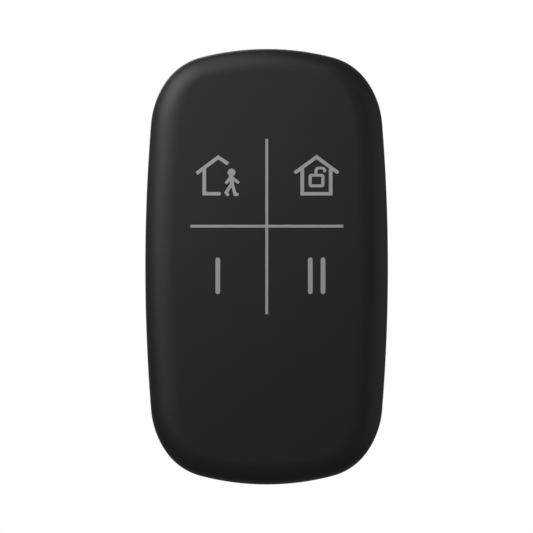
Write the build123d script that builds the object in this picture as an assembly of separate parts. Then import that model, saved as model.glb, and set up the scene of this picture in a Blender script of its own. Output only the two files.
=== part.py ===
from build123d import *
import math
import os

# Alarm key fob, lying on its rear face. X runs across it, Y along it towards the top of the keypad,
# and Z up through the front face. The origin is on the rear face, under the middle. Millimetres.

# Outline of the case, seen from the front: bowed sides and ends joined by two corner arcs each
length = 70.0
width = 39.0
side_arc_radius = 286.0
end_arc_radius = 41.7
corner_along = 12.0
corner_across = 8.9

# Rounded edges of the case
edge_run_side = 4.7
edge_run_end = 3.6
front_wall_height = 5.2
rear_edge_radius = 3.0
seam_gap = 0.2
edge_sections = 6

# Clearances
touch_gap = 0.02
overrun = 2.0

# Coin cell and its contacts
cell_radius = 10.0
cell_height = 3.2
cell_cap_radius = 8.9
cell_cap_height = 0.35
cell_edge_cut = 0.35
cell_gap = 0.15
cell_side_gap = 0.2
cell_from_bottom = 19.5
contact_gap = 0.45
contact_sheet = 0.2
contact_width = 4.0
finger_length = 7.0
finger_lift = 0.15
clip_foot = 2.0
clip_drop = 1.45
clip_slant = 0.7

# Battery lid, turned by a coin
lid_recess = 0.15
lid_plate = 0.8
lid_floor = 1.25
lid_gap = 0.15
lid_edge_round = 0.3
lid_seal_thickness = 0.3
neck_wall = 0.7
lug_reach = 1.3
lug_thickness = 0.8
lug_gap = 0.05
lug_count = 3
lug_angle = 24.0
lid_turn = 40.0
stop_angle = 5.0
stop_gap_angle = 1.0
ledge_thickness = 0.9
lid_cover_lap = 0.45
ring_wall = 1.25
coin_slot_length = 15.0
coin_slot_width = 2.0
coin_slot_depth = 0.7

# Circuit board and the tactile switches on it
board_thickness = 1.0
board_gap = 0.4
switch_size = 5.2
switch_height = 1.7
switch_floor = 0.5
switch_well_radius = 2.1
frame_sheet = 0.2
frame_hole_gap = 0.15
frame_tab_width = 1.6
frame_tab_drop = 1.1
stem_radius = 1.2
stem_stand = 0.55
stem_flange_reach = 0.6
stem_flange_thickness = 0.5
dome_sheet = 0.08
dome_side_gap = 0.1

# Keys under the skin
key_travel = 0.3
key_height = 3.21
key_length = 12.4
key_side_margin = 5.25
key_bridge = 3.7
key_corner = 2.4
key_gap = 0.15
key_face = 1.0
key_wall = 0.9
key_flange_reach = 0.7
key_flange_thickness = 0.7
key_flange_gap = 0.03
key_edge_cut = 0.3
key_rib = 0.8
key_nub_radius = 1.6
keypad_from_top = 28.45

# Skin, front shell and rear cover
skin_over_keys = 0.6
press_margin = 0.1
skin_web = 0.9
shell_face = 1.3
shell_wall = 1.3
shell_taper_run = 1.2
shell_taper_height = 2.0
shell_rib = 0.8
shell_rib_height = 1.6
shell_rib_pitch = 8.0
shell_rib_count = 2
centre_post_radius = 0.8
tongue_height = 1.0
tongue_gap = 0.1
rear_wall = 1.5
rear_floor = 1.2
rear_rib = 0.8
rear_rib_height = 1.4
seal_height = 0.45

# Screws that hold the halves together
screw_from_side = 8.0
screw_radius = 0.95
screw_fit_gap = 0.02
screw_hole_gap = 0.2
screw_grip = 2.8
screw_end_gap = 0.3
screw_head_radius = 1.7
screw_head_height = 1.3
screw_head_recess = 0.35
screw_cross_length = 2.0
screw_cross_width = 0.5
screw_cross_depth = 0.7
screw_edge_cut = 0.3
boss_radius = 2.2
boss_gap = 1.0
post_wall = 0.55
post_ring_gap = 0.4

# Notch and bar for a key ring
notch_width = 9.5
notch_corner = 1.4
notch_roof = 0.9
notch_wall = 1.5
ring_space = 4.8
bar_radius = 0.9
bar_inset = 2.6
bar_rise = 0.3
bar_seat = 1.0

# Small parts on the board
chip_size = 5.0
chip_height = 0.85
crystal_length = 3.2
crystal_width = 2.5
crystal_height = 0.8
crystal_corner = 0.3
small_part_length = 1.6
small_part_width = 0.8
small_part_height = 0.6
small_part_gap = 1.0
small_parts_in_column = 4
antenna_strip = 0.8
antenna_sheet = 0.4
antenna_lift = 1.5
antenna_bend = 1.0
antenna_end_gap = 1.5
led_length = 1.6
led_width = 0.8
led_height = 0.6
guide_radius = 1.2
guide_gap = 0.15
guide_foot_radius = 1.9
guide_foot_height = 0.8

# Heights worked out from the stack of cell, board, switch, key and skin
seam_height = lid_recess + lid_floor + cell_gap + cell_height + contact_gap
board_top = seam_height + board_thickness
frame_top = board_top + switch_height + frame_sheet
stem_top = frame_top + stem_stand
key_bottom = stem_top + touch_gap
key_top = key_bottom + key_height
skin_under_keys = key_top + touch_gap
height = skin_under_keys + skin_over_keys
skin_thickness = skin_over_keys + key_travel + press_margin
shell_top = height - skin_thickness
shell_under = shell_top - shell_face
roll_start = seam_height + front_wall_height
flange_top = shell_under - key_flange_gap
flange_bottom = flange_top - key_flange_thickness

# Places worked out from the outline
side_arc_reach = length / 2 - corner_along
end_arc_reach = width / 2 - corner_across
shell_inset = skin_thickness + shell_wall
top_y = length / 2
cell_y = cell_from_bottom - length / 2
keypad_y = length / 2 - keypad_from_top
key_width = width / 2 - key_side_margin - key_bridge / 2
bar_y = top_y - bar_inset
bar_z = bar_rise + bar_radius
notch_end_y = bar_y - bar_radius - ring_space

# Battery lid radii, from the cell outwards
neck_radius = cell_radius + cell_side_gap + neck_wall
neck_hole = neck_radius + lid_gap
lug_radius = neck_radius + lug_reach
lug_track = lug_radius + lid_gap
lid_radius = lug_track + lid_cover_lap
lid_hole = lid_radius + lid_gap
ring_radius = lid_hole + ring_wall
ledge_bottom = lid_recess + lid_plate + lid_seal_thickness + touch_gap
ledge_top = ledge_bottom + ledge_thickness
lug_bottom = ledge_top + lug_gap
lug_top = lug_bottom + lug_thickness

# The transmitter's parts lie below the lowest keys
circuit_y = keypad_y - key_bridge / 2 - key_length - key_flange_reach - small_part_gap
chip_y = circuit_y - chip_size / 2
crystal_y = circuit_y - chip_size - small_part_gap - crystal_width / 2
coil_y = crystal_y - crystal_width / 2 - small_part_gap - small_part_width

# Screw places: above the keys, and round the ring of the lid
head_hole = screw_head_radius + screw_hole_gap
post_radius = head_hole + post_wall
screw_x = width / 2 - screw_from_side
screw_top_y = keypad_y + key_bridge / 2 + key_length + key_flange_reach + boss_gap + boss_radius
post_reach = ring_radius + post_radius + post_ring_gap
screw_bottom_y = cell_y - math.sqrt(post_reach**2 - screw_x**2)
screw_places = [(sx * screw_x, y) for y in (screw_top_y, screw_bottom_y) for sx in (-1, 1)]
head_seat = screw_head_recess + screw_head_height
screw_tip = board_top + screw_grip

key_sides = {
    "away": (-1, 1),
    "disarm": (1, 1),
    "part_one": (-1, -1),
    "part_two": (1, -1),
}


def key_place(side):
    """The centre of a key, from its side of the keypad."""
    x = side[0] * (key_width + key_bridge) / 2
    y = keypad_y + side[1] * (key_length + key_bridge) / 2
    return x, y


def outline(side_inset, end_inset, z):
    """The case outline at height z, drawn in by one amount at the sides and another at the ends."""
    lean = math.asin(side_arc_reach / side_arc_radius)
    side = side_arc_radius - side_inset
    side_point = Vector(
        width / 2 - side_arc_radius + side * math.cos(lean), side * math.sin(lean)
    )
    side_way = Vector(-math.sin(lean), math.cos(lean))
    swing = math.asin(end_arc_reach / end_arc_radius)
    end = end_arc_radius - end_inset
    end_point = Vector(
        end * math.sin(swing), length / 2 - end_arc_radius + end * math.cos(swing)
    )
    end_way = Vector(-math.cos(swing), math.sin(swing))
    # two arcs meet where their equal tangents do
    span = end_point - side_point
    ways = side_way + end_way
    a = ways.dot(ways) - 4
    b = -2 * span.dot(ways)
    reach = (-b - math.sqrt(b * b - 4 * a * span.dot(span))) / (2 * a)
    joint = (side_point + side_way * reach + end_point - end_way * reach) * 0.5

    def at(point, sx, sy):
        return Vector(point.X * sx, point.Y * sy, z)

    def corner(sx, sy):
        up = TangentArc(
            at(side_point, sx, sy),
            at(joint, sx, sy),
            tangent=(side_way.X * sx, side_way.Y * sy, 0),
        )
        over = TangentArc(
            at(end_point, sx, sy),
            at(joint, sx, sy),
            tangent=(-end_way.X * sx, -end_way.Y * sy, 0),
        )
        return up, over

    side_x = width / 2 - side_inset
    end_y = length / 2 - end_inset
    edges = []
    for s in (1, -1):
        edges.append(
            ThreePointArc(
                at(side_point, s, -s), Vector(s * side_x, 0, z), at(side_point, s, s)
            )
        )
        edges += corner(s, s)
        edges.append(
            ThreePointArc(at(end_point, s, s), Vector(0, s * end_y, z), at(end_point, -s, s))
        )
        edges += corner(-s, s)
    return Face(Wire(edges))


def prism(inset, low, high):
    """A straight-sided block of the case outline, drawn in evenly."""
    return extrude(outline(inset, inset, low), high - low)


def pillow(inset, low, top, start, side_run, end_run):
    """A straight wall up to start, then an edge that rolls over to a flat top."""
    sections = []
    for n in range(edge_sections + 1):
        turn = math.pi / 2 * n / edge_sections
        share = 1 - math.cos(turn)
        level = start + (top - start) * math.sin(turn)
        sections.append(
            outline(inset + side_run * share, inset + end_run * share, level)
        )
    return prism(inset, low, start) + loft(sections)


def front_form(low):
    """The skin's outer form, from height low to the front face."""
    return pillow(0, low, height, roll_start, edge_run_side, edge_run_end)


def shell_form(low):
    """The front shell's outer form, which the skin lies on."""
    return pillow(
        skin_thickness,
        low,
        shell_top,
        roll_start,
        edge_run_side - skin_thickness,
        edge_run_end - skin_thickness,
    )


def disc(radius, low, high, x=0, y=0):
    """An upright cylinder between two heights."""
    return Pos(x, y, low) * extrude(Circle(radius), high - low)


def tube(outer, inner, low, high, x=0, y=0):
    """An upright ring between two heights."""
    return Pos(x, y, low) * extrude(Circle(outer) - Circle(inner), high - low)


def block(across, along, low, high, x=0, y=0, corner=0):
    """An upright block between two heights, with rounded corners if asked."""
    plan = RectangleRounded(across, along, corner) if corner else Rectangle(across, along)
    return Pos(x, y, low) * extrude(plan, high - low)


def sector(outer, inner, low, high, start, angle):
    """A piece of a ring round the lid's axis, from the start angle on."""
    section = Plane.XZ * Pos((outer + inner) / 2, (low + high) / 2) * Rectangle(
        outer - inner, high - low
    )
    return Pos(0, cell_y) * Rot(0, 0, start) * revolve(section, Axis.Z, angle)


def rounded_bottom(solid, radius):
    """The solid with the edges of its lowest face rounded."""
    return fillet(solid.faces().sort_by(Axis.Z)[0].edges(), radius)


def front_skin():
    """Soft seamless cover, thinner over the keys and the light guide, with a free web round each."""
    skin = front_form(seam_height + seam_gap) - shell_form(seam_height)
    for side in key_sides.values():
        x, y = key_place(side)
        skin -= block(
            key_width + 2 * skin_web,
            key_length + 2 * skin_web,
            shell_top - overrun,
            skin_under_keys,
            x,
            y,
            key_corner + skin_web,
        )
    return skin - disc(
        guide_radius + guide_gap, shell_top - overrun, skin_under_keys, 0, screw_top_y
    )


def shell_room():
    """The room inside the front shell: straight walls, then a taper under its rounded edge."""
    taper_start = shell_under - shell_taper_height
    narrow = shell_inset + shell_taper_run
    taper = loft(
        [
            outline(shell_inset, shell_inset, taper_start),
            outline(narrow, narrow, shell_under),
        ],
        ruled=True,
    )
    return prism(shell_inset, seam_height, taper_start) + taper


def shell_ribs():
    """Ribs under the shell's face: a cross between the keys, and bars below the keypad."""
    low = shell_under - shell_rib_height
    keypad_length = 2 * key_length + key_bridge
    keypad_width = 2 * key_width + key_bridge
    ribs = block(shell_rib, keypad_length, low, shell_top, 0, keypad_y)
    ribs += block(keypad_width, shell_rib, low, shell_top, 0, keypad_y)
    first = cell_y - shell_rib_pitch * (shell_rib_count - 1) / 2
    for n in range(shell_rib_count):
        ribs += block(keypad_width, shell_rib, low, shell_top, 0, first + n * shell_rib_pitch)
    return ribs


def front_shell():
    """Rigid shell under the skin, with the key windows, screw bosses and the tongue of the seam."""
    shell = shell_form(seam_height)
    tongue_inset = rear_wall + tongue_gap
    shell += prism(tongue_inset, seam_height - tongue_height, seam_height)
    shell -= prism(shell_inset, seam_height - tongue_height - overrun, seam_height)
    shell -= shell_room()
    # the tongue leaves room for the notch's walls and the screw posts of the rear cover
    tongue_end = seam_height - tongue_height - overrun
    shell -= block(
        notch_width + 2 * (notch_wall + tongue_gap),
        2 * (rear_wall + shell_inset),
        tongue_end,
        seam_height,
        0,
        top_y,
    )
    for x, y in screw_places:
        shell -= disc(post_radius + tongue_gap, tongue_end, seam_height, x, y)
    inner = shell_ribs()
    for x, y in screw_places:
        inner += disc(boss_radius, board_top, shell_top, x, y)
    inner += disc(centre_post_radius, board_top, shell_top, 0, keypad_y)
    shell += inner & shell_form(seam_height)
    hole_end = screw_tip + screw_end_gap
    for x, y in screw_places:
        shell -= disc(screw_radius + screw_fit_gap, board_top - overrun, hole_end, x, y)
    for side in key_sides.values():
        x, y = key_place(side)
        shell -= block(
            key_width + 2 * key_gap,
            key_length + 2 * key_gap,
            shell_under - overrun / 2,
            shell_top + overrun,
            x,
            y,
            key_corner + key_gap,
        )
    return shell - disc(
        guide_radius + guide_gap, shell_under - overrun, shell_top + overrun, 0, screw_top_y
    )


def notch_plan(margin):
    """The plan of the key-ring notch, or of its walls when given a margin, running out past the end."""
    along = top_y + overrun - notch_end_y + margin
    across = notch_width + 2 * margin
    return Pos(0, top_y + overrun - along / 2) * RectangleRounded(
        across, along, notch_corner
    )


def rear_stands():
    """What stands in the rear cover: the lid's ring, the screw posts, two ribs and the notch's walls."""
    stands = [disc(ring_radius, 0, lug_top, 0, cell_y)]
    stands += [disc(post_radius, 0, seam_height + overrun, x, y) for x, y in screw_places]
    rib_low = cell_y + ring_radius
    rib_top = rear_floor + rear_rib_height
    for s in (-1, 1):
        stands.append(
            block(
                rear_rib,
                screw_top_y - rib_low,
                0,
                rib_top,
                s * screw_x,
                (screw_top_y + rib_low) / 2,
            )
        )
    stands.append(extrude(notch_plan(notch_wall), seam_height + overrun))
    return stands


def rear_room():
    """The room inside the rear cover, round everything that stands in it."""
    room = prism(rear_wall, rear_floor, seam_height + overrun)
    room = rounded_bottom(room, rear_edge_radius - rear_wall)
    for stand in rear_stands():
        room -= stand
    return room


def rim_ring(low, high, inner_inset):
    """The seal's ring, from the rim's outer lip in to the given inset."""
    return prism(skin_thickness, low, high) - prism(inner_inset, low - overrun, high + overrun)


def lid_cuts():
    """What is taken out for the lid: its hole, the track of its lugs and the lugs' ways in."""
    track = disc(lug_track, ledge_top, lug_top + overrun, 0, cell_y)
    cuts = disc(lid_hole, -overrun, ledge_bottom, 0, cell_y)
    cuts += disc(neck_hole, -overrun, lug_top + overrun, 0, cell_y)
    for n in range(lug_count):
        middle = 90 + n * 360 / lug_count
        closed_stop = middle + lug_angle / 2 + stop_gap_angle
        open_stop = middle - lid_turn - lug_angle / 2 - stop_gap_angle - stop_angle
        for start in (closed_stop, open_stop):
            track -= sector(ring_radius, cell_radius, ledge_bottom, lug_top, start, stop_angle)
        way = lug_angle + 2 * stop_gap_angle
        cuts += sector(
            lug_track, cell_radius, 0, ledge_top + overrun / 2, middle - lid_turn - way / 2, way
        )
    return cuts + track


def rear_cover():
    """Rear half of the case, with the lid seat, screw posts, ribs and key-ring notch."""
    form = rounded_bottom(prism(0, 0, seam_height), rear_edge_radius)
    cover = form - rear_room()
    seal_low = seam_height - seal_height
    cover -= rim_ring(seal_low, seam_height + overrun, rear_wall + touch_gap)
    cover -= lid_cuts()
    for x, y in screw_places:
        cover -= disc(head_hole, -overrun, head_seat, x, y)
        cover -= disc(screw_radius + screw_hole_gap, 0, seam_height + overrun, x, y)
    notch = Pos(0, 0, -overrun) * extrude(notch_plan(0), seam_height - notch_roof + overrun)
    cover -= notch
    return cover - key_ring_bar(bar_seat + touch_gap, touch_gap)


def key_ring_bar(seat=bar_seat, gap=0.0):
    """Steel bar across the notch, its ends in the notch walls."""
    span = notch_width + 2 * seat
    bar = Rot(0, 90, 0) * extrude(Circle(bar_radius + gap), span / 2, both=True)
    return Pos(0, bar_y, bar_z) * bar


def case_seal():
    """Seal in the rabbet of the rear cover, under the front shell's rim."""
    return rim_ring(seam_height - seal_height, seam_height, rear_wall)


def battery_lid():
    """Coin-turned lid: a plate with a neck round the cell and bayonet lugs on the neck."""
    plate = rounded_bottom(
        disc(lid_radius, lid_recess, lid_recess + lid_plate, 0, cell_y), lid_edge_round
    )
    lid = plate + disc(neck_radius, lid_recess + lid_edge_round, lug_top, 0, cell_y)
    for n in range(lug_count):
        start = 90 + n * 360 / lug_count - lug_angle / 2
        lid += sector(lug_radius, cell_radius, lug_bottom, lug_top, start, lug_angle)
    lid -= disc(cell_radius + cell_side_gap, lid_recess + lid_floor, lug_top + overrun, 0, cell_y)
    slot = Pos(0, cell_y, -overrun) * extrude(
        SlotOverall(coin_slot_length, coin_slot_width), overrun + lid_recess + coin_slot_depth
    )
    return lid - slot


def lid_seal():
    """Flat ring between the lid's plate and the ledge of the rear cover."""
    low = lid_recess + lid_plate
    return tube(lid_radius, neck_radius, low, low + lid_seal_thickness, 0, cell_y)


def coin_cell():
    """Coin cell with its positive can towards the lid and the smaller negative cap towards the board."""
    low = lid_recess + lid_floor + cell_gap
    shoulder = low + cell_height - cell_cap_height
    can = disc(cell_radius, low, shoulder, 0, cell_y)
    can = chamfer(can.edges().filter_by(GeomType.CIRCLE), cell_edge_cut)
    return can + disc(cell_cap_radius, shoulder - cell_edge_cut, low + cell_height, 0, cell_y)


def bent_strip(points, across):
    """A strip of contact sheet bent in the YZ plane along points, centred on X."""
    line = Polyline(*[(y, z) for y, z in points])
    section = Plane.YZ * trace(line, contact_sheet)
    return extrude(section, across / 2, both=True)


def negative_contact():
    """Leaf under the board that presses on the middle of the cell."""
    top = seam_height - contact_sheet / 2
    cell_top = seam_height - contact_gap + contact_sheet / 2 + touch_gap
    back = cell_y - finger_length / 2
    points = [
        (back - contact_width / 2, top),
        (back, top),
        (cell_y, cell_top),
        (cell_y + contact_sheet * 4, cell_top + finger_lift),
    ]
    return bent_strip(points, contact_width)


def positive_contact():
    """Clip under the board that bears on the side of the cell's can."""
    top = seam_height - contact_sheet / 2
    tip_y = cell_y + cell_radius + contact_sheet / 2 + 2 * touch_gap
    points = [
        (tip_y + clip_slant + clip_foot, top),
        (tip_y + clip_slant, top),
        (tip_y, top - clip_drop),
    ]
    return bent_strip(points, contact_width)


def circuit_board():
    """Board inside the front shell's wall, clamped between the posts and bosses at the screws."""
    board = prism(shell_inset + board_gap, seam_height, board_top)
    hole = screw_radius + screw_hole_gap
    for x, y in screw_places:
        board -= disc(hole, seam_height - overrun, board_top + overrun, x, y)
    return board


def case_screw(x, y):
    """Cross-head screw from the rear cover into a boss of the front shell."""
    head = disc(screw_head_radius, screw_head_recess, head_seat, x, y)
    head = chamfer(head.faces().sort_by(Axis.Z)[0].edges(), screw_edge_cut)
    screw = head + disc(screw_radius, head_seat, screw_tip, x, y)
    for across, along in (
        (screw_cross_length, screw_cross_width),
        (screw_cross_width, screw_cross_length),
    ):
        screw -= block(
            across, along, screw_head_recess - overrun, screw_head_recess + screw_cross_depth, x, y
        )
    return screw


def key(side):
    """Key cap with its retaining flange, hollow underneath with cross ribs and a nub for the switch."""
    x, y = key_place(side)
    cap = block(key_width, key_length, flange_bottom, key_top, x, y, key_corner)
    cap = chamfer(cap.faces().sort_by(Axis.Z)[-1].edges(), key_edge_cut)
    cap += block(
        key_width + 2 * key_flange_reach,
        key_length + 2 * key_flange_reach,
        flange_bottom,
        flange_top,
        x,
        y,
        key_corner + key_flange_reach,
    )
    cap -= block(
        key_width - 2 * key_wall,
        key_length - 2 * key_wall,
        flange_bottom - overrun,
        key_top - key_face,
        x,
        y,
        key_corner - key_wall,
    )
    cap += block(key_width - key_wall, key_rib, flange_bottom, key_top - key_face, x, y)
    cap += block(key_rib, key_length - key_wall, flange_bottom, key_top - key_face, x, y)
    return cap + disc(key_nub_radius, key_bottom, key_top - key_face, x, y)


def switch_housing(x, y):
    """Moulded base of one tactile switch, open at the top for the dome and stem."""
    body = block(switch_size, switch_size, board_top, board_top + switch_height, x, y)
    return body - disc(
        switch_well_radius, board_top + switch_floor, board_top + switch_height + overrun, x, y
    )


def switch_frame(x, y):
    """Sheet-metal top of one switch, with a hole for the stem and a tab down each of two sides."""
    low = board_top + switch_height
    side = switch_size / 2
    frame = block(switch_size, switch_size, low, frame_top, x, y)
    for s in (-1, 1):
        frame += block(
            frame_sheet,
            frame_tab_width,
            frame_top - frame_tab_drop,
            frame_top,
            x + s * (side + frame_sheet / 2),
            y,
        )
    return frame - disc(stem_radius + frame_hole_gap, low - overrun, frame_top + overrun, x, y)


def switch_stem(side):
    """Plunger of one switch, held in by its flange under the frame."""
    x, y = key_place(side)
    flange_high = board_top + switch_height - touch_gap
    flange_low = flange_high - stem_flange_thickness
    stem = disc(stem_radius, flange_low, stem_top, x, y)
    return stem + disc(stem_radius + stem_flange_reach, flange_low, flange_high, x, y)


def switch_dome(side):
    """Snap dome under a stem: a thin spherical cap standing on the housing's floor."""
    x, y = key_place(side)
    foot = board_top + switch_floor
    stem_low = board_top + switch_height - touch_gap - stem_flange_thickness
    rise = stem_low - touch_gap - foot
    foot_radius = switch_well_radius - dome_side_gap
    ball = (foot_radius**2 + rise**2) / (2 * rise)
    centre = Pos(x, y, foot + rise - ball)
    sheet = centre * Sphere(ball) - centre * Sphere(ball - dome_sheet)
    return sheet & disc(switch_well_radius, foot, foot + rise + overrun, x, y)


def small_parts(places):
    """Several chip parts of one size on the board, as (x, y) places."""
    return Compound(
        [
            block(small_part_length, small_part_width, board_top, board_top + small_part_height, x, y)
            for x, y in places
        ]
    )


def column(x, first):
    """Places of small parts in a column, one gap apart."""
    step = small_part_width + small_part_gap
    return [(x, first - n * step) for n in range(small_parts_in_column)]


def loop_antenna():
    """Strip that stands off the board round the radio chip, its two ends soldered down."""
    reach = screw_x - boss_radius - antenna_strip
    start_y = circuit_y - antenna_strip
    far_y = shell_inset + board_gap + antenna_end_gap - length / 2
    level = board_top + antenna_lift
    path = FilletPolyline(
        (-reach, start_y, board_top),
        (-reach, start_y, level),
        (-reach, far_y, level),
        (reach, far_y, level),
        (reach, start_y, level),
        (reach, start_y, board_top),
        radius=antenna_bend,
    )
    section = Plane(path @ 0, x_dir=(1, 0, 0), z_dir=path % 0)
    return sweep(section * Rectangle(antenna_strip, antenna_sheet), path)


def light_guide():
    """Clear post that carries the light from the lamp to the thin spot of the skin."""
    low = board_top + led_height + touch_gap
    guide = disc(guide_radius, low, key_top, 0, screw_top_y)
    foot_high = shell_under - touch_gap
    return guide + disc(guide_foot_radius, foot_high - guide_foot_height, foot_high, 0, screw_top_y)


def several(make, places):
    """The same piece at several places, as separate solids."""
    return Compound([make(x, y).solid() for x, y in places])


def nodes():
    """Every named piece of the fob."""
    switch_places = [key_place(side) for side in key_sides.values()]
    part_x = chip_size / 2 + small_part_gap + small_part_length / 2
    first_y = circuit_y - small_part_width / 2
    made = {
        "front_skin": front_skin(),
        "front_shell": front_shell(),
        "rear_cover": rear_cover(),
        "case_seal": case_seal(),
        "case_screws": several(case_screw, screw_places),
        "key_ring_bar": key_ring_bar(),
        "battery_lid": battery_lid(),
        "lid_seal": lid_seal(),
        "coin_cell": coin_cell(),
        "negative_contact": negative_contact(),
        "positive_contact": positive_contact(),
        "circuit_board": circuit_board(),
        "switch_housings": several(switch_housing, switch_places),
        "switch_frames": several(switch_frame, switch_places),
        "radio_chip": block(chip_size, chip_size, board_top, board_top + chip_height, 0, chip_y),
        "crystal": block(
            crystal_length,
            crystal_width,
            board_top,
            board_top + crystal_height,
            0,
            crystal_y,
            crystal_corner,
        ),
        "chip_capacitors": small_parts(column(-part_x, first_y)),
        "chip_resistors": small_parts(column(part_x, first_y)),
        "chip_coils": small_parts([(-small_part_length, coil_y), (small_part_length, coil_y)]),
        "loop_antenna": loop_antenna(),
        "status_lamp": block(
            led_length, led_width, board_top, board_top + led_height, 0, screw_top_y
        ),
        "light_guide": light_guide(),
    }
    for name, side in key_sides.items():
        made[f"{name}_key"] = key(side)
        made[f"{name}_switch_stem"] = switch_stem(side)
        made[f"{name}_switch_dome"] = switch_dome(side)
    return made


os.makedirs("parts", exist_ok=True)
for name, shape in nodes().items():
    export_step(shape, f"parts/{name}.step")
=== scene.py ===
import math

import bmesh
import bpy
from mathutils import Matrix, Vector
from mathutils.geometry import delaunay_2d_cdt


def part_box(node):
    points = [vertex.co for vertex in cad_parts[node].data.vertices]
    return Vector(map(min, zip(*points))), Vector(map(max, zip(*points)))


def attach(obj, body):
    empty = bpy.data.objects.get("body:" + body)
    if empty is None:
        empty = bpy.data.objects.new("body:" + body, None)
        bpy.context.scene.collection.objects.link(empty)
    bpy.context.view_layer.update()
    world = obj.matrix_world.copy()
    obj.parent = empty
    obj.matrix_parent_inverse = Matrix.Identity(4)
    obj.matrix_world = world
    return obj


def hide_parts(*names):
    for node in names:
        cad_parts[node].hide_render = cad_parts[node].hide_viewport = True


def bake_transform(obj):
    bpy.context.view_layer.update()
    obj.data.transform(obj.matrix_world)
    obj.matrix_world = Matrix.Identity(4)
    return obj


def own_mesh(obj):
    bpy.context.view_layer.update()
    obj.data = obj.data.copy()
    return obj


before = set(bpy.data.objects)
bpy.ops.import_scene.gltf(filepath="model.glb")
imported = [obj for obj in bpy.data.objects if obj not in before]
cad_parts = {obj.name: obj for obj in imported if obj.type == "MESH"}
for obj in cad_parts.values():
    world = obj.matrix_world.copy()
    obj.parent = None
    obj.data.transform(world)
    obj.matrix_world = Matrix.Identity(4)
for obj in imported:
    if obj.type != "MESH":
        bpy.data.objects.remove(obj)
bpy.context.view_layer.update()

# An alarm key fob on a white table. The soft skin, the snap domes and the printed marks are made
# here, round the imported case, keys, lid and screws, which keep their shapes and get their
# finishes. All sizes are in metres, apart from the places of the marks, which are in millimetres.
mm = 0.001

# Outline of the case, as in the model: bowed sides and ends joined by two corner arcs each
case_length = 70.0 * mm
case_width = 39.0 * mm
side_arc_radius = 286.0 * mm
end_arc_radius = 41.7 * mm
corner_along = 12.0 * mm
corner_across = 8.9 * mm
side_steps = 14
corner_steps = 14
end_steps = 8

# Skin section, from its lower rim up the wall and over the rounded edge
skin_low, skin_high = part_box("front_skin")
shell_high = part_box("front_shell")[1].z
seam_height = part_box("case_seal")[1].z
key_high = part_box("away_key")[1].z
skin_thickness = skin_high.z - shell_high
under_gap = 0.02 * mm
wall_rise = 5.2 * mm
wall_top = seam_height + wall_rise
edge_run_side = 4.7 * mm
edge_run_end = 3.6 * mm
edge_steps = 24
rim_round = 0.18 * mm
rim_steps = 4
face_margin = 0.1 * mm

# Ink and the rise of the skin over each key, both too thin to see
ink_height = 0.012 * mm
key_rise = 0.006 * mm
face_height = skin_high.z - ink_height - key_rise
pad_height = face_height + key_rise

# Skin over each key, and the pocket under it that takes the key's cap
flange_reach = 0.7 * mm
key_corner = 2.4 * mm
pad_inset = 0.25 * mm
pocket_web = 0.9 * mm
web_width = 0.9 * mm
web_steps = 8

# Snap domes under the switch stems
dome_sheet = 0.08 * mm
dome_steps = 6

# Bends and circles in every outline
bend_steps = 8
disc_steps = 32
nearly_straight = math.pi / 2 - 0.01

# Camera, straight above the keypad, with its frame in the photograph's pixels
photo_side = 533
photo_scale = 0.16065 * mm
photo_middle_x = 266.62
photo_middle_y = 266.67
lens = 300.0
sensor = 36.0
camera_reach = 10.0


# Outlines


def arc(centre, radius, start, end, steps):
    """Points along an arc, with both its ends."""
    angles = [start + (end - start) * n / steps for n in range(steps + 1)]
    return [centre + Vector((math.cos(a), math.sin(a))) * radius for a in angles]


def tangent_arc(start, way, end, steps):
    """Points along the arc that leaves start in the direction way and ends at end."""
    side = Vector((-way.y, way.x))
    span = end - start
    radius = span.length_squared / (2 * span.dot(side))
    centre = start + side * radius
    first = math.atan2(start.y - centre.y, start.x - centre.x)
    last = math.atan2(end.y - centre.y, end.x - centre.x)
    return arc(centre, abs(radius), first, last, steps)


def quarter_outline(side_inset, end_inset):
    """The outline's points in the first quarter, from the right side round to the top end."""
    lean = math.asin((case_length / 2 - corner_along) / side_arc_radius)
    swing = math.asin((case_width / 2 - corner_across) / end_arc_radius)
    side_centre = Vector((case_width / 2 - side_arc_radius, 0))
    end_centre = Vector((0, case_length / 2 - end_arc_radius))
    side_points = arc(side_centre, side_arc_radius - side_inset, 0, lean, side_steps)
    end_points = arc(
        end_centre, end_arc_radius - end_inset, math.pi / 2 - swing, math.pi / 2, end_steps
    )
    start, finish = side_points[-1], end_points[0]
    side_way = Vector((-math.sin(lean), math.cos(lean)))
    end_way = Vector((-math.cos(swing), math.sin(swing)))
    # The corner's two arcs meet where equal tangents from its two ends do
    span = finish - start
    ways = side_way + end_way
    a = ways.dot(ways) - 4
    b = -2 * span.dot(ways)
    reach = (-b - math.sqrt(b * b - 4 * a * span.length_squared)) / (2 * a)
    joint = (start + side_way * reach + finish - end_way * reach) / 2
    rise = tangent_arc(start, side_way, joint, corner_steps)
    fall = tangent_arc(finish, -end_way, joint, corner_steps)
    return side_points + rise[1:] + fall[::-1][1:] + end_points[1:]


def outline(side_inset, end_inset):
    """The whole outline, going round from the middle of the right side."""
    quarter = quarter_outline(side_inset, end_inset)
    upper = quarter + [Vector((-p.x, p.y)) for p in quarter[-2::-1]]
    return upper + [Vector((p.x, -p.y)) for p in upper[-2:0:-1]]


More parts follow.
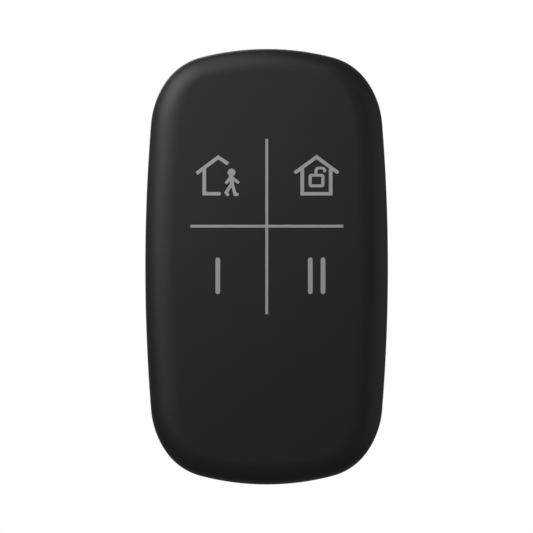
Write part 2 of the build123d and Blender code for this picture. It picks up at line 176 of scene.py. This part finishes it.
def softened(corners):
    """A closed outline from its corners, each a point and the radius that rounds it."""
    points = []
    for n, (corner, radius) in enumerate(corners):
        back = (corners[n - 1][0] - corner).normalized()
        on = (corners[(n + 1) % len(corners)][0] - corner).normalized()
        half_angle = back.angle(on) / 2
        if radius == 0 or half_angle > nearly_straight:
            points.append(corner)
            continue
        centre = corner + (back + on).normalized() * radius / math.sin(half_angle)
        first = corner + back * radius / math.tan(half_angle) - centre
        last = corner + on * radius / math.tan(half_angle) - centre
        sweep = math.atan2(first.x * last.y - first.y * last.x, first.dot(last))
        start = math.atan2(first.y, first.x)
        points += arc(centre, radius, start, start + sweep, bend_steps)
    return points


def rounded_box(low, high, corner):
    """A rectangle's outline with rounded corners."""
    places = ((high.x, low.y), (high.x, high.y), (low.x, high.y), (low.x, low.y))
    return softened([(Vector(place), corner) for place in places])


def rounded_square(centre, half, corner):
    """A square's outline with rounded corners."""
    reach = Vector((half, half))
    return rounded_box(centre - reach, centre + reach, corner)


def disc(centre, radius):
    """A circle's outline."""
    return arc(centre, radius, 0, 2 * math.pi * (1 - 1 / disc_steps), disc_steps - 1)


def lifted(points, z):
    """Flat points at a height."""
    return [Vector((p.x, p.y, z)) for p in points]


# Meshes

sharp_angle = math.radians(40)


def object_from(name, build):
    """A new mesh object, whose shape build(work) makes, smooth but for its sharp edges."""
    mesh = bpy.data.meshes.new(name)
    work = bmesh.new()
    build(work)
    bmesh.ops.recalc_face_normals(work, faces=work.faces)
    work.to_mesh(mesh)
    work.free()
    mesh.shade_smooth()
    mesh.set_sharp_from_angle(angle=sharp_angle)
    made = bpy.data.objects.new(name, mesh)
    bpy.context.scene.collection.objects.link(made)
    return made


def skirt(work, rings):
    """Joins rings of equal point counts with quads, and returns the rings' vertices."""
    made = [[work.verts.new(p) for p in ring] for ring in rings]
    for low, high in zip(made, made[1:]):
        for n in range(len(low)):
            m = (n + 1) % len(low)
            work.faces.new((low[n], low[m], high[m], high[n]))
    return made


def loop_edges(work, ring):
    """The edges round a ring of vertices."""
    return [work.edges.get((ring[n - 1], ring[n])) for n in range(len(ring))]


def fan(work, ring, centre):
    """Triangles from a ring of vertices to a point in its middle."""
    middle = work.verts.new(centre)
    for n in range(len(ring)):
        work.faces.new((ring[n - 1], ring[n], middle))


key_names = ("away_key", "disarm_key", "part_one_key", "part_two_key")


def key_pad(name):
    """The middle of a key's cap and its half-width, found from the node's flange."""
    low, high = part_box(name)
    middle = Vector(((low.x + high.x) / 2, (low.y + high.y) / 2))
    return middle, (high.x - low.x) / 2 - flange_reach


def rolled_rings(inset, top):
    """Rings over a rounded edge, from the top of its wall to its flat."""
    rings = []
    for n in range(edge_steps + 1):
        turn = math.pi / 2 * n / edge_steps
        share = 1 - math.cos(turn)
        side = inset + (edge_run_side - inset) * share
        end = inset + (edge_run_end - inset) * share
        rings.append(lifted(outline(side, end), wall_top + (top - wall_top) * math.sin(turn)))
    return rings


def skin_shell():
    """The skin outside the keys: rim, wall, rounded edge, the flat face, and its inner side."""

    def build(work):
        rim = []
        for n in range(rim_steps + 1):
            turn = math.pi / 2 * n / rim_steps
            inset = rim_round * (1 - math.sin(turn))
            height = skin_low.z + rim_round * (1 - math.cos(turn))
            rim.append(lifted(outline(inset, inset), height))
        inner = rolled_rings(skin_thickness, shell_high)
        foot = lifted(outline(skin_thickness, skin_thickness), skin_low.z)
        flat = lifted(
            outline(edge_run_side + face_margin, edge_run_end + face_margin), face_height
        )
        outer = rolled_rings(0, face_height)
        rings = skirt(work, [*inner[::-1], foot, *rim, *outer, flat])
        under_edges = loop_edges(work, rings[0])
        face_edges = loop_edges(work, rings[-1])
        for name in key_names:
            middle, half = key_pad(name)
            hole = rounded_square(middle, half - pad_inset, key_corner - pad_inset)
            pocket = rounded_square(middle, half + pocket_web, key_corner + pocket_web)
            walls = skirt(
                work,
                [
                    lifted(hole, face_height),
                    lifted(hole, key_high + under_gap),
                    lifted(pocket, key_high + under_gap),
                    lifted(pocket, shell_high),
                ],
            )
            face_edges += loop_edges(work, walls[0])
            under_edges += loop_edges(work, walls[-1])
        for edges in (face_edges, under_edges):
            bmesh.ops.triangle_fill(work, use_beauty=True, use_dissolve=False, edges=edges)

    skin = object_from("soft_skin", build)
    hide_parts("front_skin")
    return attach(skin, "case")


def skin_pad(name):
    """The skin over one key and the web round it."""
    middle, key_half = key_pad(name)
    half = key_half - pad_inset
    corner = key_corner - pad_inset

    def build(work):
        rings = [lifted(rounded_square(middle, half, corner), key_high + under_gap)]
        for n in range(web_steps + 1):
            share = n / web_steps
            reach = web_width * share
            ring = rounded_square(middle, half - reach, corner - reach)
            rings.append(lifted(ring, face_height + key_rise * share))
        made = skirt(work, rings)
        fan(work, made[0], (middle.x, middle.y, key_high + under_gap))
        fan(work, made[-1], (middle.x, middle.y, pad_height))

    pad = object_from(f"soft_skin_over_{name}", build)
    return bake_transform(pad)


def snap_dome(key):
    """The thin sprung cap under one switch stem."""
    name = key.removesuffix("_key")
    middle, _ = key_pad(key)
    low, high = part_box(f"{name}_switch_dome")
    foot_radius = high.x - middle.x
    rise = high.z - low.z
    ball = (foot_radius**2 + rise**2) / (2 * rise)
    ball_height = high.z - ball

    def cap(radius):
        reach = math.acos((low.z - ball_height) / radius)
        angles = [reach * (1 - n / dome_steps) for n in range(dome_steps)]
        return [
            lifted(disc(middle, radius * math.sin(a)), ball_height + radius * math.cos(a))
            for a in angles
        ]

    def build(work):
        under = ball - dome_sheet
        made = skirt(work, [*cap(under)[::-1], *cap(ball)])
        fan(work, made[0], (middle.x, middle.y, ball_height + under))
        fan(work, made[-1], (middle.x, middle.y, high.z))

    dome = object_from(f"{name}_snap_dome", build)
    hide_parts(f"{name}_switch_dome")
    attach(dome, "case")
    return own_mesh(dome)


# Printed marks

merge_within = 1e-8


def points_of(*places):
    """Flat points from places in millimetres."""
    return [Vector(place) * mm for place in places]


def stroke(places, width, end_round=0.0, joint_round=0.0):
    """The outline of a line of this width through the places, mitred at its joints."""
    points = points_of(*places)
    ways = [(b - a).normalized() for a, b in zip(points, points[1:])]
    left, right = [], []
    for n, point in enumerate(points):
        near = ways[max(n - 1, 0) : n + 1]
        sides = [Vector((-way.y, way.x)) for way in near]
        side = sum(sides, Vector((0, 0))).normalized()
        offset = side * (width / 2 / side.dot(sides[0]))
        radius = end_round if len(near) == 1 and n in (0, len(points) - 1) else joint_round
        left.append((point + offset, radius))
        right.append((point - offset, radius))
    return softened(left + right[::-1])


def leftward(shape):
    """An outline turned so that it goes round to the left."""
    turning = sum(a.x * b.y - a.y * b.x for a, b in zip(shape, shape[1:] + shape[:1]))
    return shape if turning > 0 else shape[::-1]


def printed_mark(name, body, base, shapes, gaps=()):
    """One thin layer of ink in the shape of all the outlines together, less the gaps."""
    points, loops = [], []
    for shape in (*shapes, *gaps):
        loops.append(list(range(len(points), len(points) + len(shape))))
        points += leftward(shape)
    flat, _, areas, _, _, sources = delaunay_2d_cdt(points, [], loops, 0, merge_within, True)
    inked = [
        area for area, source in zip(areas, sources) if source and max(source) < len(shapes)
    ]

    def build(work):
        used = sorted({corner for area in inked for corner in area})
        low = {n: work.verts.new((flat[n].x, flat[n].y, base)) for n in used}
        high = {n: work.verts.new((flat[n].x, flat[n].y, base + ink_height)) for n in used}
        sides = {(area[n - 1], area[n]) for area in inked for n in range(3)}
        for area in inked:
            work.faces.new([high[n] for n in area])
            work.faces.new([low[n] for n in reversed(area)])
        for a, b in sides:
            if (b, a) not in sides:
                work.faces.new((low[a], low[b], high[b], high[a]))

    mark = object_from(name, build)
    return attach(mark, body)


# Widths of the lines, and how far their ends and bends are rounded
cross_line = 0.455 * mm
roof_line = 0.57 * mm
wall_line = 0.595 * mm
floor_line = 0.557 * mm
neck_line = 0.69 * mm
arm_line = 0.477 * mm
leg_line = 0.511 * mm
numeral_line = 0.752 * mm
house_end_round = 0.12 * mm
roof_end_round = 0.26 * mm
apex_round = 0.08 * mm
floor_end_round = 0.23 * mm
limb_round = 0.1 * mm
head_radius = 0.631 * mm
lock_corner = 0.44 * mm
lock_arch_left = 0.68 * mm
lock_arch_right = 0.65 * mm
lock_arch_inside = 0.31 * mm
lock_leg_end = 0.26 * mm

# Foot and top of the numerals, in millimetres
numeral_foot = -4.40
numeral_top = 1.465

# Signs on the rear, round the battery lid
lid_locked_bearing = math.radians(110)
arrow_from_rim = 0.9 * mm
arrow_length = 1.3 * mm
arrow_half = 0.8 * mm
sign_from_rim = 2.3 * mm
sign_line = 0.32 * mm
sign_corner = 0.25 * mm

# The padlock in such a sign, in millimetres from the sign's middle
sign_body_side = 0.95
sign_body_foot = -0.85
sign_body_top = 0.45
sign_shackle_side = 0.55
sign_shackle_top = 1.3
sign_open_lift = 0.35


def dividing_cross():
    """The two thin lines between the four keys."""
    return printed_mark(
        "printed_cross",
        "case",
        face_height,
        [
            stroke([(0.02, -7.61), (0.02, 20.47)], cross_line),
            stroke([(-12.21, 6.49), (12.28, 6.49)], cross_line),
        ],
    )


def away_mark():
    """An open house with a figure that walks out of it."""
    roof = [(-11.235, 14.93), (-7.75, 17.535), (-6.15, 16.45)]
    wall = [(-9.99, 15.85), (-9.99, 11.41)]
    floor = [(-9.99, 11.685), (-7.34, 11.685)]
    (head,) = points_of((-5.62, 15.09))
    neck, shoulder, hip = (-5.64, 15.0), (-5.70, 14.39), (-5.52, 13.38)
    return printed_mark(
        "printed_away_mark",
        "away_key",
        pad_height,
        [
            stroke(roof, roof_line, house_end_round, apex_round),
            stroke(wall, wall_line),
            stroke(floor, floor_line, floor_end_round),
            disc(head, head_radius),
            stroke([neck, shoulder, hip], neck_line, limb_round),
            stroke([(-6.55, 13.31), shoulder, (-4.44, 13.40)], arm_line, limb_round, limb_round),
            stroke([hip, (-6.485, 11.88), (-6.12, 11.39)], leg_line, limb_round, limb_round),
            stroke([hip, (-5.06, 11.585), (-4.50, 11.57)], leg_line, limb_round, limb_round),
        ],
    )


def disarm_mark():
    """A house with an open padlock in it."""
    roof = [(4.465, 14.99), (8.0, 17.57), (11.49, 15.0)]
    left_wall = [(5.71, 15.85), (5.71, 11.40)]
    right_wall = [(10.26, 15.85), (10.26, 11.40)]
    floor = [(5.71, 11.68), (10.26, 11.68)]
    body = rounded_box(*points_of((6.72, 12.72), (9.26, 14.87)), lock_corner)
    opening = rounded_box(*points_of((7.22, 13.18), (8.77, 14.42)), 0)
    shackle = zip(
        points_of(
            (7.65, 14.7),
            (7.65, 16.00),
            (9.55, 16.00),
            (9.55, 15.09),
            (9.08, 15.09),
            (9.08, 15.60),
            (8.14, 15.60),
            (8.14, 14.7),
        ),
        (
            0,
            lock_arch_left,
            lock_arch_right,
            lock_leg_end,
            lock_leg_end,
            lock_arch_inside,
            lock_arch_inside,
            0,
        ),
    )
    return printed_mark(
        "printed_disarm_mark",
        "disarm_key",
        pad_height,
        [
            stroke(roof, roof_line, roof_end_round, apex_round),
            stroke(left_wall, wall_line),
            stroke(right_wall, wall_line),
            stroke(floor, floor_line),
            body,
            softened(list(shackle)),
        ],
        [opening],
    )


def numeral_bar(x):
    """One upright bar of a numeral, with round ends."""
    return stroke([(x, numeral_foot), (x, numeral_top)], numeral_line, numeral_line / 2)


def numerals():
    """The numerals one and two of the part settings."""
    one = [numeral_bar(-7.82)]
    two = [numeral_bar(6.995), numeral_bar(9.035)]
    return [
        printed_mark("printed_numeral_one", "part_one_key", pad_height, one),
        printed_mark("printed_numeral_two", "part_two_key", pad_height, two),
    ]


def lock_sign(x, y, lift=0.0):
    """A padlock's outlines, open when its shackle is lifted and so ends above the body."""
    corners = points_of(
        (x - sign_body_side, y + sign_body_foot), (x + sign_body_side, y + sign_body_top)
    )
    left, right = x - sign_shackle_side, x + sign_shackle_side
    top = y + sign_shackle_top + lift
    shackle = [(left, y), (left, top), (right, top), (right, y + 2 * lift)]
    return [rounded_box(*corners, sign_corner), stroke(shackle, sign_line, 0, sign_corner)]


def lid_marks():
    """The signs that say where the battery lid is locked and open, and its arrow."""
    low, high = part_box("battery_lid")
    centre = Vector((0, (low.y + high.y) / 2))
    locked = Vector((math.cos(lid_locked_bearing), math.sin(lid_locked_bearing)))
    side = Vector((-locked.y, locked.x))
    tip = centre + locked * (high.x - arrow_from_rim)
    back = tip - locked * arrow_length
    arrow = [(tip, 0), (back + side * arrow_half, 0), (back - side * arrow_half, 0)]
    place = (centre + locked * (high.x + sign_from_rim)) / mm
    signs = [*lock_sign(place.x, place.y), *lock_sign(-place.x, place.y, sign_open_lift)]
    return [
        printed_mark("printed_lid_arrow", "lid", low.z - ink_height, [softened(arrow)]),
        printed_mark("printed_lock_signs", "case", -ink_height, signs),
    ]


# Effects that several finishes share

noise_detail = 3.0
noise_middle = 0.5
mottle_contrast = 2.0
wear_contrast = 2.5
wear_gain = 6.0
wear_samples = 4


def shader_node(tree, kind, inputs=None, **settings):
    """A new node with its settings, whose inputs are set to values or linked from sockets."""
    made = tree.nodes.new(kind)
    for name, value in settings.items():
        setattr(made, name, value)
    for name, value in (inputs or {}).items():
        if isinstance(value, bpy.types.NodeSocket):
            tree.links.new(value, made.inputs[name])
        else:
            made.inputs[name].default_value = value
    return made


def worked(tree, operation, *values):
    """The result of a math node."""
    inputs = dict(enumerate(values))
    return shader_node(tree, "ShaderNodeMath", inputs, operation=operation).outputs[0]


def effect(name, inputs, output):
    """A node group with named number inputs and one named output, and its two end nodes."""
    group = bpy.data.node_groups.new(name, "ShaderNodeTree")
    for label, start in inputs.items():
        socket = group.interface.new_socket(
            label, in_out="INPUT", socket_type="NodeSocketFloat"
        )
        socket.default_value = start
    group.interface.new_socket(output, in_out="OUTPUT", socket_type="NodeSocketFloat")
    return group, group.nodes.new("NodeGroupInput").outputs, group.nodes.new("NodeGroupOutput")


def noise_effect(name, size, stretched=False):
    """Noise of a given size, drawn out along Y where the finish is brushed."""
    inputs = {"Size": size, "Contrast": 1.0}
    if stretched:
        inputs["Length"] = size
    group, given, result = effect(name, inputs, "Value")
    place = group.nodes.new("ShaderNodeTexCoord").outputs["Object"]
    across = worked(group, "DIVIDE", 1.0, given["Size"])
    along = worked(group, "DIVIDE", 1.0, given["Length"]) if stretched else across
    scale = shader_node(
        group, "ShaderNodeCombineXYZ", {"X": across, "Y": along, "Z": across}
    ).outputs[0]
    scaled = shader_node(
        group, "ShaderNodeVectorMath", {0: place, 1: scale}, operation="MULTIPLY"
    ).outputs[0]
    noise = shader_node(
        group, "ShaderNodeTexNoise", {"Vector": scaled, "Scale": 1.0, "Detail": noise_detail}
    ).outputs[0]
    spread = worked(group, "MULTIPLY_ADD", noise, given["Contrast"], noise_middle)
    centred = worked(group, "MULTIPLY_ADD", given["Contrast"], -noise_middle, spread)
    clamped = shader_node(group, "ShaderNodeClamp", {"Value": centred}).outputs[0]
    group.links.new(clamped, result.inputs["Value"])


def edge_wear_effect():
    """Where an edge is sharp enough to be rubbed, broken up in patches."""
    group, given, result = effect(
        "edge_wear", {"Reach": 0.2 * mm, "Patch Size": 1.5 * mm, "Amount": 1.0}, "Value"
    )
    rounded = shader_node(
        group, "ShaderNodeBevel", {"Radius": given["Reach"]}, samples=wear_samples
    ).outputs[0]
    flat = group.nodes.new("ShaderNodeNewGeometry").outputs["Normal"]
    same = shader_node(
        group, "ShaderNodeVectorMath", {0: rounded, 1: flat}, operation="DOT_PRODUCT"
    ).outputs["Value"]
    turned = worked(group, "SUBTRACT", 1.0, same)
    patches = shader_node(
        group,
        "ShaderNodeGroup",
        {"Size": given["Patch Size"], "Contrast": wear_contrast},
        node_tree=bpy.data.node_groups["slow_mottle"],
    ).outputs[0]
    rubbed = worked(group, "MULTIPLY", turned, patches)
    amount = worked(group, "MULTIPLY", given["Amount"], wear_gain)
    strong = worked(group, "MULTIPLY", rubbed, amount)
    clamped = shader_node(group, "ShaderNodeClamp", {"Value": strong}).outputs[0]
    group.links.new(clamped, result.inputs["Value"])


noise_effect("fine_grain", 0.15 * mm)
noise_effect("slow_mottle", 6.0 * mm)
noise_effect("drawn_lines", 0.05 * mm, stretched=True)
edge_wear_effect()


def placed_effect(tree, name, **inputs):
    """The output of a shared effect, placed with a material's own values."""
    made = shader_node(tree, "ShaderNodeGroup", node_tree=bpy.data.node_groups[name])
    for label, value in inputs.items():
        made.inputs[label.capitalize()].default_value = value
    return made.outputs[0]


def mixed(tree, factor, first, second, kind="RGBA"):
    """A mix of two colours or two numbers, for which the node has sockets of their own."""
    first_slot, second_slot, result = (6, 7, 2) if kind == "RGBA" else (2, 3, 0)
    inputs = {0: factor, first_slot: first, second_slot: second}
    return shader_node(tree, "ShaderNodeMix", inputs, data_type=kind).outputs[result]


def shade(colour, times=1.0):
    """A colour with its alpha, made lighter or darker."""
    return (*(min(part * times, 1.0) for part in colour), 1.0)


def finish(
    name,
    colour,
    rough,
    metal=0.0,
    grain_size=0.15 * mm,
    grain_depth=0.003 * mm,
    line_length=None,
    mottle_size=6 * mm,
    shade_share=0.08,
    rough_share=0.08,
    worn=None,
    worn_rough=0.35,
    wear_reach=0.15 * mm,
    wear_amount=1.0,
    plain=None,
):
    """A finish with grain, slow changes of shade and roughness, and rubbed edges.

    A worn colour asks for the rubbed edges, a line length draws the grain out into lines, and
    plain holds further values for the shader's own sockets.
    """
    material = bpy.data.materials.new(name)
    material.use_nodes = True
    tree = material.node_tree
    surface = tree.nodes["Principled BSDF"]
    for label, value in {"Metallic": metal, **(plain or {})}.items():
        surface.inputs[label].default_value = value
    mottle = placed_effect(tree, "slow_mottle", size=mottle_size, contrast=mottle_contrast)
    tone = mixed(tree, mottle, shade(colour, 1 - shade_share), shade(colour, 1 + shade_share))
    roughness = mixed(
        tree, mottle, rough * (1 + rough_share), rough * (1 - rough_share), "FLOAT"
    )
    if worn:
        wear = placed_effect(tree, "edge_wear", reach=wear_reach, amount=wear_amount)
        tone = mixed(tree, wear, tone, shade(worn))
        roughness = mixed(tree, wear, roughness, worn_rough, "FLOAT")
    if line_length:
        grain = placed_effect(tree, "drawn_lines", size=grain_size, length=line_length)
    else:
        grain = placed_effect(tree, "fine_grain", size=grain_size)
    bump = shader_node(tree, "ShaderNodeBump", {"Height": grain, "Distance": grain_depth})
    tree.links.new(tone, surface.inputs["Base Color"])
    tree.links.new(roughness, surface.inputs["Roughness"])
    tree.links.new(bump.outputs[0], surface.inputs["Normal"])
    return material


def drawn_metal(name, colour, rough, line_length, grain_size=0.05 * mm, **settings):
    """A metal finish with fine lines drawn along it."""
    return finish(
        name,
        colour,
        rough,
        metal=1.0,
        grain_size=grain_size,
        grain_depth=0.001 * mm,
        line_length=line_length,
        **settings,
    )


def finishes():
    """Every finish, by the material slot that it dresses."""
    return {
        "soft_skin": finish(
            "soft_touch_black",
            (0.0118, 0.0118, 0.0121),
            0.36,
            grain_size=0.12 * mm,
            grain_depth=0.0012 * mm,
            mottle_size=9 * mm,
            shade_share=0.05,
            rough_share=0.03,
        ),
        "case_plastic": finish(
            "moulded_case_black",
            (0.018, 0.018, 0.019),
            0.55,
            grain_size=0.18 * mm,
            grain_depth=0.034 * mm,
            worn=(0.035, 0.035, 0.036),
            worn_rough=0.38,
        ),
        "lid_plastic": finish(
            "moulded_lid_black",
            (0.016, 0.016, 0.017),
            0.5,
            grain_size=0.14 * mm,
            grain_depth=0.026 * mm,
            worn=(0.045, 0.045, 0.046),
            worn_rough=0.33,
            wear_reach=0.2 * mm,
            wear_amount=1.5,
        ),
        "key_plastic": finish("moulded_key_grey", (0.05, 0.05, 0.052), 0.45),
        "seal_rubber": finish(
            "seal_rubber_black", (0.02, 0.02, 0.02), 0.7, grain_size=0.3 * mm
        ),
        "screw_steel": finish(
            "screw_black_zinc",
            (0.12, 0.12, 0.125),
            0.36,
            metal=1.0,
            grain_size=0.08 * mm,
            worn=(0.45, 0.44, 0.42),
            worn_rough=0.3,
            wear_reach=0.12 * mm,
            wear_amount=1.6,
        ),
        "bar_steel": drawn_metal(
            "bar_nickel",
            (0.62, 0.60, 0.57),
            0.2,
            1.2 * mm,
            grain_size=0.04 * mm,
            rough_share=0.25,
        ),
        "cell_steel": drawn_metal("cell_nickel", (0.60, 0.60, 0.60), 0.3, 6 * mm),
        "contact_metal": drawn_metal("contact_nickel", (0.66, 0.62, 0.52), 0.28, 2 * mm),
        "board_laminate": finish(
            "board_green", (0.012, 0.10, 0.045), 0.3, grain_size=0.4 * mm, mottle_size=2 * mm
        ),
        "switch_plastic": finish("switch_base_black", (0.02, 0.02, 0.02), 0.5),
        "switch_metal": drawn_metal("switch_sheet", (0.60, 0.60, 0.61), 0.3, 3 * mm),
        "stem_plastic": finish("stem_black", (0.02, 0.02, 0.02), 0.42),
        "chip_plastic": finish("chip_epoxy", (0.015, 0.015, 0.015), 0.55, grain_size=0.1 * mm),
        "crystal_can": finish("crystal_can_steel", (0.62, 0.60, 0.55), 0.26, metal=1.0),
        "capacitor_ceramic": finish("capacitor_tan", (0.32, 0.22, 0.13), 0.45),
        "resistor_ceramic": finish("resistor_black", (0.02, 0.02, 0.025), 0.3),
        "coil_ceramic": finish("coil_grey", (0.09, 0.09, 0.10), 0.45),
        "antenna_wire": drawn_metal("antenna_copper", (0.62, 0.34, 0.18), 0.3, 4 * mm),
        "lamp_resin": finish("lamp_cast_resin", (0.75, 0.72, 0.62), 0.2),
        "guide_clear": finish(
            "clear_guide_acrylic",
            (0.92, 0.94, 0.95),
            0.06,
            grain_depth=0.0005 * mm,
            plain={"Transmission Weight": 1.0, "IOR": 1.49},
        ),
    }


# Ink of the marks, and how much lighter or darker it prints in some of them
ink_grey = (0.441, 0.447, 0.456)
line_cover = 0.98
house_cover = 1.07


def printed_ink(name, cover=1.0):
    """The grey ink of the marks, a little uneven."""
    return finish(
        name,
        shade(ink_grey, cover)[:3],
        0.5,
        grain_size=0.12 * mm,
        grain_depth=0.0012 * mm,
        mottle_size=2.5 * mm,
        shade_share=0.03,
        rough_share=0.05,
    )


# Table, light and camera

table_half = 2.0
table_gap = 0.02 * mm
over_exposed = (1.0, 1.0, 1.0, 1.0)
sky_strength = 0.13
table_strength = 0.24

# Softboxes: bearing and height in degrees, side, and brightness
box_distance = 220 * mm
large_box = 220 * mm
small_box = 110 * mm
softboxes = {
    "upper_softbox": (120, 38, large_box, 1.02),
    "corner_softbox": (135, 45, small_box, 1.27),
    "left_softbox": (150, 50, small_box, 0.86),
    "low_left_softbox": (150, 25, large_box, 0.38),
    "overhead_softbox": (120, 74, small_box, 0.5),
    "left_overhead_softbox": (180, 62, small_box, 0.435),
    "right_fill_softbox": (0, 25, large_box, 0.26),
    "rear_softbox": (120, -48, large_box, 1.2),
}


def table():
    """A table that shows pure white, as an over-exposed sweep does, and clear from below.

    The light that it sends to the fob comes from the lower half of the pale room.
    """

    def build(work):
        bmesh.ops.create_grid(work, x_segments=1, y_segments=1, size=table_half)
        for corner in work.verts:
            corner.co.z = -table_gap

    made = object_from("white_table", build)
    material = bpy.data.materials.new("table_white")
    material.use_nodes = True
    tree = material.node_tree
    tree.nodes.remove(tree.nodes["Principled BSDF"])
    white = shader_node(tree, "ShaderNodeEmission", {"Color": over_exposed}).outputs[0]
    clear = tree.nodes.new("ShaderNodeBsdfTransparent").outputs[0]
    behind = tree.nodes.new("ShaderNodeNewGeometry").outputs["Backfacing"]
    both = shader_node(tree, "ShaderNodeMixShader", {0: behind, 1: white, 2: clear}).outputs[0]
    tree.links.new(both, tree.nodes["Material Output"].inputs["Surface"])
    made.data.materials.append(material)
    made.visible_diffuse = False
    made.visible_glossy = False
    made.visible_transmission = False
    made.visible_shadow = False


def room():
    """The pale room: white to the eye, weak light from above, and the table's light from below."""
    world = bpy.data.worlds.new("pale_room")
    world.use_nodes = True
    tree = world.node_tree

    def glow(strength):
        inputs = {"Color": over_exposed, "Strength": strength}
        return shader_node(tree, "ShaderNodeBackground", inputs).outputs[0]

    way = tree.nodes.new("ShaderNodeTexCoord").outputs["Generated"]
    rise = shader_node(tree, "ShaderNodeSeparateXYZ", {0: way}).outputs["Z"]
    above = worked(tree, "GREATER_THAN", rise, 0.0)
    lit_inputs = {0: above, 1: glow(table_strength), 2: glow(sky_strength)}
    lit = shader_node(tree, "ShaderNodeMixShader", lit_inputs).outputs[0]
    looked_at = tree.nodes.new("ShaderNodeLightPath").outputs["Is Camera Ray"]
    seen_inputs = {0: looked_at, 1: lit, 2: glow(1.0)}
    seen = shader_node(tree, "ShaderNodeMixShader", seen_inputs).outputs[0]
    tree.links.new(seen, tree.nodes["World Output"].inputs["Surface"])
    bpy.context.scene.world = world


def softbox(name, bearing, height, side, brightness):
    """A square soft light at a bearing and height in degrees, aimed at the fob."""
    data = bpy.data.lights.new(name, "AREA")
    data.shape = "SQUARE"
    data.size = side
    data.energy = brightness * math.pi * side * side
    turn, rise = math.radians(bearing), math.radians(height)
    way = Vector(
        (math.cos(turn) * math.cos(rise), math.sin(turn) * math.cos(rise), math.sin(rise))
    )
    made = bpy.data.objects.new(name, data)
    made.location = way * box_distance
    made.rotation_mode = "QUATERNION"
    made.rotation_quaternion = (-way).to_track_quat("-Z", "Y")
    made.visible_camera = False
    bpy.context.scene.collection.objects.link(made)


def camera():
    """A long lens straight above, framed as the photograph is."""
    data = bpy.data.cameras.new("camera")
    data.lens = lens
    data.sensor_width = sensor
    data.clip_end = camera_reach
    made = bpy.data.objects.new("camera", data)
    distance = photo_side * photo_scale * lens / sensor
    made.location = (
        (photo_side / 2 - photo_middle_x) * photo_scale,
        (photo_middle_y - photo_side / 2) * photo_scale,
        wall_top + distance,
    )
    bpy.context.scene.collection.objects.link(made)
    bpy.context.scene.camera = made


def dress(pieces, marks):
    """Gives each piece, each mark and every carried-over node its finish."""
    by_slot = finishes()
    for slot, made in pieces.items():
        for piece in made:
            piece.data.materials.append(by_slot[slot])
    for ink, made in marks.items():
        for mark in made:
            mark.data.materials.append(ink)
    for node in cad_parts.values():
        for holder in node.material_slots:
            holder.material = by_slot[holder.material.name]


camera()
dress(
    {
        "soft_skin": [skin_shell(), *(skin_pad(name) for name in key_names)],
        "switch_metal": [snap_dome(name) for name in key_names],
    },
    {
        printed_ink("printed_line_grey", line_cover): [dividing_cross()],
        printed_ink("printed_house_grey", house_cover): [away_mark(), disarm_mark()],
        printed_ink("printed_sign_grey"): [*numerals(), *lid_marks()],
    },
)
table()
room()
for name, setting in softboxes.items():
    softbox(name, *setting)
bpy.context.scene.view_settings.view_transform = "Standard"
